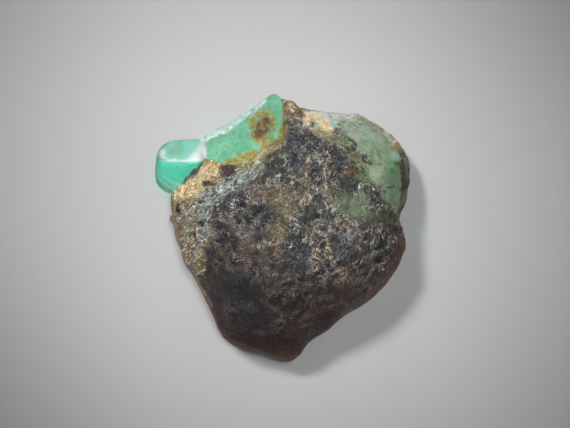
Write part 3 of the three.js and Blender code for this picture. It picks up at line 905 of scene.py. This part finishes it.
# Each kind of flake: where it lies, how many to a square millimetre, its width and its range of
# lengths in millimetres, how far it leans in radians, and the range of its directions about the
# band's run in degrees.
FLAKES = {
    "grey_mica_slivers": {
        "cover": dome_cover, "per_mm2": 2.0, "width": 0.07, "lengths": (0.3, 1.3), "tilt": 0.2,
        "spread": 360, "seed": 13,
    },
    "silver_mica_flakes": {
        "cover": band_cover, "per_mm2": 6.0, "width": 0.11, "lengths": (0.4, 1.5), "tilt": 0.25,
        "spread": 44, "seed": 23,
    },
    "gold_mica_flakes": {
        "cover": gold_cover, "per_mm2": 3.0, "width": 0.16, "lengths": (0.25, 0.9), "tilt": 0.3,
        "spread": 80, "seed": 37,
    },
}


# ---------------------------------------------------------------------------------------------
# Materials
# ---------------------------------------------------------------------------------------------
def new_material(name):
    """A material with a bare node tree, and its graph."""
    material = bpy.data.materials.new(name)
    material.use_nodes = True
    material.node_tree.nodes.clear()
    return material, Graph(material.node_tree)


def schist_surface(graph, place):
    """The schist's Principled shader: pale fibres matted over dark mica."""
    coarse = graph.rise(graph.fibres(place, 1.7, 0.26, 1.3, 31), 0.5, 0.62)
    fine = graph.rise(graph.fibres(place, 1.0, 0.18, 0.8, 32), 0.5, 0.64)
    combed = graph.rise(graph.fibres(place, 1.4, 0.2, 1.5, 34, BAND_RUN, 70.0), 0.45, 0.58)
    band = stored(graph, "band") | stored(graph, "gold")
    felt = (coarse | fine) * (1.0 - band) + combed * band
    grit = graph.cells(graph.wander(place, 0.5, 0.35, seed=6), 0.22)
    shown = felt * (0.35 + 0.65 * grit)
    ground = stored(graph, "ground", "FLOAT_COLOR")
    colour = graph.mix(shown, ground, stored(graph, "fibre", "FLOAT_COLOR"))
    colour = graph.mix(stored(graph, "seat") * 0.8, colour, (0.36, 0.31, 0.13, 1))
    height = felt * 0.07 + grit * 0.03
    bump = graph.node("ShaderNodeBump", None, {"Strength": 0.8, "Distance": MM, "Height": height})
    sockets = {
        "Base Color": colour,
        "Roughness": 0.45 + 0.25 * grit,
        "Normal": bump,
        "Specular IOR Level": 0.35,
    }
    return graph.node("ShaderNodeBsdfPrincipled", None, sockets)


def schist_material():
    """The lump's own material."""
    material, graph = new_material("Mica schist")
    surface = schist_surface(graph, object_place(graph))
    graph.node("ShaderNodeOutputMaterial", None, {"Surface": surface})
    return material


def beryl_surface(graph, place, colour, roughness, lit):
    """Clouded beryl: part clear and part milky. Lamps light what lies under it."""
    height = graph.noise(place, 0.7, 3.0, 0.6) * 0.08
    bump = graph.node("ShaderNodeBump", None, {"Strength": 0.5, "Distance": MM, "Height": height})
    sockets = {
        "Base Color": colour,
        "Roughness": roughness,
        "Normal": bump,
        "IOR": BERYL_IOR,
        "Transmission Weight": 0.5,
        "Subsurface Weight": 1.0,
        "Subsurface Radius": (0.5, 1.0, 0.8),
        "Subsurface Scale": 0.22 * MM,
    }
    beryl = graph.node("ShaderNodeBsdfPrincipled", None, sockets)
    clear = graph.node("ShaderNodeBsdfTransparent", None, {"Color": lit})
    lamp = graph.node("ShaderNodeLightPath", None, None, 1)
    return graph.node("ShaderNodeMixShader", None, {0: lamp, 1: beryl, 2: clear})


def finish_crystal(material, graph, surface, density, absorbed):
    """Adds a crystal's absorption, which deepens its green with thickness."""
    sockets = {"Color": (*absorbed, 1.0), "Density": density}
    depth = graph.node("ShaderNodeVolumeAbsorption", None, sockets)
    graph.node("ShaderNodeOutputMaterial", None, {"Surface": surface, "Volume": depth})
    return material


def left_material(absorbed):
    """Bright mint beryl with frosted edges and iron stains. Its hexagonal end has a pale upper
    facet that is a painted highlight and a deep blue-green lower facet that is painted shade; the
    frosted edge and a facet by the peak carry painted highlights, and the steep sides painted
    shade.
    """
    material, graph = new_material("Bright emerald")
    place = object_place(graph)
    torn = graph.wander(graph.wander(place, 1.4, 0.9), 0.5, 0.5, 3.0, seed=12)
    y = graph.part(place, 1)

    def spots(shapes, soft=0.4):
        return graph.covered(torn, shapes, soft)

    cloud = graph.rise(graph.noise(place, 2.4, 3.0, 0.6, seed=13), 0.3, 0.7)
    grain = graph.rise(graph.noise(place, 0.5, 3.0, 0.7, seed=42), 0.36, 0.64)
    deep = graph.mix(cloud, (0.14, 0.66, 0.43, 1), (0.26, 0.88, 0.58, 1))
    colour = graph.mix(grain, deep, graph.mix(cloud, (0.27, 0.86, 0.57, 1), (0.50, 1.0, 0.76, 1)))

    end = graph.rise(graph.part(place, 0), END_START + 0.1, END_START - 0.1)
    veined = graph.rise(graph.fibres(place, 2.5, 0.5, 3.0, 33), 0.45, 0.7)
    milky = spots(WHITE_PATCHES, 0.6)
    shaded_teal_layers = (
        (veined * 0.35, (0.36, 1.0, 0.84)),
        (graph.rise(y, 7.6, 5.2) * 0.8, (0.50, 0.92, 0.74)),
        (graph.covered(place, TEAL_STREAKS) * 0.8, (0.80, 1.0, 0.90)),
        (graph.covered(place, CRACK), (0.9, 1.0, 0.95)),
    )
    lit_white_layers = (
        (milky, (0.9, 1.0, 0.97)),
        (spots(OLIVE_VEIL, 0.6) * 0.7, (0.34, 0.62, 0.46)),
    )
    # The end's upper facet is a paler copy of the mint as a painted highlight, its lower facet a
    # deeper copy as painted shade.
    shaded_teal = graph.layered((0.16, 0.90, 0.68, 1), shaded_teal_layers)
    lit_white = graph.layered((0.46, 0.94, 0.80, 1), lit_white_layers)
    parting = graph.rise(y + 0.3 * (graph.noise(place, 1.5, 2.0) - 0.5), 9.75, 9.95)
    line = graph.covered(place, PARTING) * 0.6
    hexagon = graph.layered(graph.mix(parting, shaded_teal, lit_white), ((line, (0.04, 0.40, 0.32)),))

    # Frosted chips along the outer edge, painted paler: partly their own frosting, partly a painted
    # highlight.
    frost_and_highlight = graph.covered(graph.wander(place, 1.5, 1.0), FROST_AND_HIGHLIGHT_EDGE, 0.6) | spots(FROST_HIGHLIGHT_PATCH)
    frost_and_highlight = frost_and_highlight * graph.rise(graph.noise(place, 0.7, 3.0, 0.7, seed=17), 0.38, 0.56)
    layers = (
        (frost_and_highlight * 0.5, (0.92, 1.0, 0.97)),
        (spots(PALE_FACET) * 0.5, (0.45, 1.0, 0.66)),
        # painted highlight on the facet by the peak
        (graph.covered(place, HIGHLIGHT_STRIP) * 0.8, (0.62, 1.0, 0.70)),
        # painted shade on the steep sides
        (stored(graph, "side") * 0.8, (0.02, 0.30, 0.26)),
    )
    colour = graph.layered(graph.mix(end, colour, hexagon), layers)

    mottled = graph.rise(graph.noise(torn, 0.8, 3.0, 0.6, seed=14), 0.36, 0.56)
    halo = spots(STAIN_HALO + LOWER_HALO + EDGE_HALO, 0.6) * (0.65 + 0.35 * mottled)
    core = spots(BIG_STAIN, 0.6) * (0.75 + 0.25 * mottled)
    # An opaque pale coat: the frosted edge with its painted highlight, and milky patches on the
    # end's paler upper facet.
    milk_and_frost_highlight = (frost_and_highlight * 0.8 | milky * parting * end * 0.6) * (1.0 - halo)
    peak = spots(PEAK, 0.25)
    crust_layers = (
        (mottled, (0.36, 0.23, 0.04)),
        (core, (0.12, 0.060, 0.022)),
        (graph.rise(milk_and_frost_highlight - core, 0.0, 0.2), (0.88, 1.0, 0.95)),
        (peak, (0.20, 0.10, 0.035)),
        (graph.covered(place, PEAK_STREAKS), (0.90, 0.85, 0.55)),
    )
    coat = {"Base Color": graph.layered((0.38, 0.37, 0.07, 1), crust_layers), "Roughness": 0.4}
    crust = graph.node("ShaderNodeBsdfPrincipled", None, coat)
    crusted = halo | core | milk_and_frost_highlight | spots(FLECKS) * 0.45 | peak

    beryl = beryl_surface(graph, place, colour, 0.32 + 0.25 * cloud, (0.55, 1.0, 0.85, 1))
    surface = graph.node("ShaderNodeMixShader", None, {0: crusted, 1: beryl, 2: crust})
    return finish_crystal(material, graph, surface, 30.0, absorbed)


def right_material(absorbed):
    """Duller sage green beryl, seen where its crust of schist is torn away."""
    material, graph = new_material("Deep emerald")
    place = object_place(graph)
    torn = torn_place(graph, place)
    scraps = graph.noise(place, 0.35, 3.0, 0.6, seed=24) - 0.5
    bare = graph.rise(stored(graph, "bare") + scraps, 0.36, 0.5)
    cloud = graph.rise(graph.noise(place, 1.8, 4.0, 0.65, seed=15), 0.3, 0.7)
    colour = graph.mix(cloud, (0.42, 0.53, 0.38, 1), (0.84, 0.90, 0.76, 1))
    right = graph.rise(graph.part(place, 0), 14.2, 16.0)
    border = 1.0 - graph.rise(stored(graph, "bare"), 0.5, 0.95)
    scratched = graph.rise(graph.fibres(place, 1.3, 0.16, 1.2, 40), 0.5, 0.7)
    dirt = graph.rise(graph.noise(torn, 0.5, 3.0, 0.6, seed=41), 0.47, 0.65)
    specks = graph.rise(graph.cells(graph.wander(place, 0.5, 0.3), 0.3), 0.88, 0.94)
    layers = (
        (right * 0.8, (0.15, 0.37, 0.19)),
        (graph.covered(torn, PALE_VEILS, 0.6) * 0.7, (0.72, 0.92, 0.78)),
        (border * 0.75, (0.33, 0.37, 0.16)),
        (graph.covered(place, PALE_LINES) * 0.4, (0.62, 0.90, 0.66)),
        (scratched * 0.4, (0.72, 0.86, 0.68)),
        (dirt * 0.65, (0.24, 0.26, 0.13)),
        (graph.covered(torn, WHITE_SPOT), (0.80, 1.0, 0.90)),
        (graph.covered(torn, TAN_PATCH), (0.70, 0.52, 0.32)),
        (graph.covered(torn, CREAM_PATCH), (1.0, 0.88, 0.68)),
        (graph.covered(place, KNOB_SPOT) * 0.6, (0.46, 0.86, 0.56)),
        (graph.covered(place, DARK_LINE), (0.03, 0.05, 0.02)),
        (specks * graph.rise(graph.part(place, 1), 11.0, 14.5), (0.9, 1.0, 0.95)),
    )
    colour = graph.layered(colour, layers)

    roughness = 0.2 + 0.35 * cloud
    beryl = beryl_surface(graph, place, colour, roughness, (0.45, 0.8, 0.55, 1))
    sockets = {0: bare, 1: schist_surface(graph, place), 2: beryl}
    surface = graph.node("ShaderNodeMixShader", None, sockets)
    return finish_crystal(material, graph, surface, 60.0, absorbed)


# Each kind of flake's finish: its name, its dullest and brightest colours, and its roughness.
FLAKE_FINISHES = {
    "grey_mica_slivers": ("Grey mica", (0.10, 0.095, 0.085, 1), (0.50, 0.46, 0.38, 1), 0.35),
    "silver_mica_flakes": ("Silver mica", (0.10, 0.11, 0.10, 1), (0.68, 0.72, 0.64, 1), 0.3),
    "gold_mica_flakes": ("Gold mica", (0.64, 0.45, 0.18, 1), (1.0, 0.98, 0.82, 1), 0.3),
}


def flake_material(name, dull, bright, roughness):
    """Mica whose flakes run from a dull to a bright colour, one colour to a flake."""
    material, graph = new_material(name)
    tone = stored(graph, "tone")
    wear = graph.noise(object_place(graph), 0.3, 2.0, 0.5) - 0.5
    sockets = {
        "Base Color": graph.mix(tone**1.5 + wear * 0.4, dull, bright),
        "Roughness": roughness + 0.25 * tone,
        "IOR": 1.5,
    }
    shader = graph.node("ShaderNodeBsdfPrincipled", None, sockets)
    graph.node("ShaderNodeOutputMaterial", None, {"Surface": shader})
    return material


# ---------------------------------------------------------------------------------------------
# Properties
# ---------------------------------------------------------------------------------------------
class SchistSettings(bpy.types.PropertyGroup):
    grain: bpy.props.FloatProperty(
        name="Grain",
        description="Size of the mesh's cells, which is the finest relief that is modelled",
        default=0.24 * MM,
        min=0.1 * MM,
        unit="LENGTH",
        precision=5,
    )


class FlakeSettings(bpy.types.PropertyGroup):
    share: bpy.props.FloatProperty(
        name="Flakes",
        description="How many flakes of mica lie on the stone, as a share of the usual number",
        default=1.0,
        min=0.0,
        soft_max=2.0,
        subtype="FACTOR",
    )


class CrystalSettings(bpy.types.PropertyGroup):
    grain: bpy.props.FloatProperty(
        name="Grain",
        description="Size of the mesh's cells on the crystals",
        default=0.16 * MM,
        min=0.08 * MM,
        unit="LENGTH",
        precision=5,
    )
    left_depth: bpy.props.FloatVectorProperty(
        name="Left depth",
        description="Colour of the light that comes through the left crystal",
        default=(0.35, 0.9, 0.7),
        size=3,
        min=0.0,
        max=1.0,
        subtype="COLOR",
    )
    right_depth: bpy.props.FloatVectorProperty(
        name="Right depth",
        description="Colour of the light that comes through the right crystal",
        default=(0.3, 0.8, 0.5),
        size=3,
        min=0.0,
        max=1.0,
        subtype="COLOR",
    )


class StageSettings(bpy.types.PropertyGroup):
    floor_colour: bpy.props.FloatVectorProperty(
        name="Floor",
        description="Colour of the floor",
        default=(0.62, 0.62, 0.62),
        size=3,
        min=0.0,
        max=1.0,
        subtype="COLOR",
    )


# ---------------------------------------------------------------------------------------------
# Operators
# ---------------------------------------------------------------------------------------------
class SPECIMEN_OT_schist(bpy.types.Operator):
    """Makes the lump of mica schist"""

    bl_idname = "specimen.schist"
    bl_label = "Mica Schist"

    def execute(self, context):
        piece = copy_of_node(SCHIST, "mica_schist")
        crystals = [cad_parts[LEFT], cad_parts[RIGHT]]
        build_schist_mesh(piece, context.scene.specimen_schist.grain, crystals)
        select_only(piece)
        bpy.ops.object.shade_smooth_by_angle(angle=math.radians(28))
        finish_piece(piece, schist_material(), "mica_schist", SCHIST)
        return {"FINISHED"}


class SPECIMEN_OT_left_crystal(bpy.types.Operator):
    """Makes the bright crystal at the upper left"""

    bl_idname = "specimen.left_crystal"
    bl_label = "Left Crystal"

    def execute(self, context):
        settings = context.scene.specimen_crystal
        piece = copy_of_node(LEFT, "left_emerald")
        wear_down(piece, settings.grain, 0.7, 14)
        apply_geometry(piece, "Left relief", left_relief)
        select_only(piece)
        bpy.ops.object.shade_smooth_by_angle(angle=math.radians(40))
        finish_piece(piece, left_material(settings.left_depth), "emerald_bright", LEFT)
        return {"FINISHED"}


class SPECIMEN_OT_right_crystal(bpy.types.Operator):
    """Makes the dull crystal sunk in the upper right, under its torn crust"""

    bl_idname = "specimen.right_crystal"
    bl_label = "Right Crystal"

    def execute(self, context):
        settings = context.scene.specimen_crystal
        piece = copy_of_node(RIGHT, "right_emerald")
        wear_down(piece, settings.grain, 0.7, 6)
        apply_geometry(piece, "Schist regions", mark_regions)
        paint_schist(piece)
        apply_geometry(piece, "Right relief", right_relief)
        select_only(piece)
        bpy.ops.object.shade_smooth_by_angle(angle=math.radians(40))
        finish_piece(piece, right_material(settings.right_depth), "emerald_deep", RIGHT)
        return {"FINISHED"}


class SPECIMEN_OT_flakes(bpy.types.Operator):
    """Scatters grey, silver and gold slivers of mica on the schist and the crust"""

    bl_idname = "specimen.flakes"
    bl_label = "Mica Slivers"

    def execute(self, context):
        lump = (bpy.data.objects["mica_schist"], bpy.data.objects["right_emerald"])
        for name, kind in FLAKES.items():
            piece = scatter_flakes(name, lump, context.scene.specimen_flakes.share, **kind)
            finish_piece(piece, flake_material(*FLAKE_FINISHES[name]), "mica_schist")
        return {"FINISHED"}


VIEW_CENTRE = (0.30, 2.2)  # where the camera looks, beside the specimen's middle
VIEW_WIDTH = 85.1  # how much the camera sees across, at the height of the stone's rim
RIM_HEIGHT = 6.0
LENS = 100.0
SENSOR = 36.0
FLOOR_SIZE = 3.0  # in metres
STUDIO_WHITE, STUDIO_LIGHT = (0.9, 0.9, 0.9, 1.0), 0.11

# The lamps: name, place and target in millimetres, size in millimetres, power in watts and the
# spread of the beam in degrees.
LAMPS = (
    ("key", (-150.0, 170.0, 330.0), (-2.0, 5.0, 0.0), 80.0, 0.0132, 14.0),
    ("top", (40.0, 60.0, 400.0), (-2.0, 6.0, 0.0), 80.0, 0.0085, 14.0),
    ("back", (-30.0, 330.0, 110.0), (-6.0, 12.0, 8.0), 120.0, 0.003, 30.0),
    ("fill", (240.0, -60.0, 330.0), (0.0, 0.0, 8.0), 260.0, 0.09, 180.0),
)


def add_camera():
    """A camera looking straight down on the specimen."""
    distance = LENS * VIEW_WIDTH / SENSOR
    place = (VIEW_CENTRE[0] * MM, VIEW_CENTRE[1] * MM, (RIM_HEIGHT + distance) * MM)
    bpy.ops.object.camera_add(location=place, rotation=(0.0, 0.0, 0.0))
    camera = bpy.context.object
    camera.name = "camera"
    camera.data.lens = LENS
    camera.data.sensor_width = SENSOR
    camera.data.clip_start = 0.01
    bpy.context.scene.camera = camera


def add_softbox(name, place, target, size, power, spread):
    """A square lamp at a place, facing a target; a grid narrows its spread."""
    where = [c * MM for c in place]
    aim = (Vector(target) - Vector(place)).to_track_quat("-Z", "Y").to_euler()
    bpy.ops.object.light_add(type="AREA", location=where, rotation=aim)
    lamp = bpy.context.object
    lamp.name = name
    lamp.data.size = size * MM
    lamp.data.energy = power
    lamp.data.spread = math.radians(spread)


def add_floor(colour):
    bpy.ops.mesh.primitive_plane_add(size=FLOOR_SIZE, location=(0.0, 0.0, 0.0))
    floor = bpy.context.object
    floor.name = "floor"
    material, graph = new_material("Pale floor")
    sockets = {"Base Color": (*colour, 1.0), "Roughness": 0.9, "Specular IOR Level": 0.1}
    shader = graph.node("ShaderNodeBsdfPrincipled", None, sockets)
    graph.node("ShaderNodeOutputMaterial", None, {"Surface": shader})
    floor.data.materials.append(material)


class SPECIMEN_OT_stage(bpy.types.Operator):
    """Makes the floor, the lamps and the camera"""

    bl_idname = "specimen.stage"
    bl_label = "Stage"

    def execute(self, context):
        add_floor(context.scene.specimen_stage.floor_colour)
        for lamp in LAMPS:
            add_softbox(*lamp)
        world = bpy.data.worlds.new("Studio")
        world.use_nodes = True
        background = world.node_tree.nodes["Background"]
        background.inputs["Color"].default_value = STUDIO_WHITE
        background.inputs["Strength"].default_value = STUDIO_LIGHT
        context.scene.world = world
        context.scene.view_settings.view_transform = "Standard"
        add_camera()
        return {"FINISHED"}


class SPECIMEN_PT_panel(bpy.types.Panel):
    """Lists the specimen's pieces and settings"""

    bl_idname = "SPECIMEN_PT_panel"
    bl_label = "Raw Emerald Specimen"
    bl_space_type = "VIEW_3D"
    bl_region_type = "UI"
    bl_category = "Specimen"

    def draw(self, context):
        layout = self.layout
        for settings in SETTINGS:
            group = getattr(context.scene, settings)
            for name in group.__annotations__:
                layout.prop(group, name)
        for operator in BUILD_ORDER:
            layout.operator(operator.bl_idname)


BUILD_ORDER = (
    SPECIMEN_OT_stage,
    SPECIMEN_OT_schist,
    SPECIMEN_OT_left_crystal,
    SPECIMEN_OT_right_crystal,
    SPECIMEN_OT_flakes,
)
SETTINGS = {
    "specimen_schist": SchistSettings,
    "specimen_flakes": FlakeSettings,
    "specimen_crystal": CrystalSettings,
    "specimen_stage": StageSettings,
}


def register():
    for group in SETTINGS.values():
        bpy.utils.register_class(group)
    for name, group in SETTINGS.items():
        setattr(bpy.types.Scene, name, bpy.props.PointerProperty(type=group))
    for operator in BUILD_ORDER:
        bpy.utils.register_class(operator)
    bpy.utils.register_class(SPECIMEN_PT_panel)


def unregister():
    bpy.utils.unregister_class(SPECIMEN_PT_panel)
    for operator in reversed(BUILD_ORDER):
        bpy.utils.unregister_class(operator)
    for name, group in reversed(SETTINGS.items()):
        delattr(bpy.types.Scene, name)
        bpy.utils.unregister_class(group)


def main():
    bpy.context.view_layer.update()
    register()
    for operator in BUILD_ORDER:
        category, name = operator.bl_idname.split(".")
        getattr(getattr(bpy.ops, category), name)()


if __name__ == "__main__":
    main()
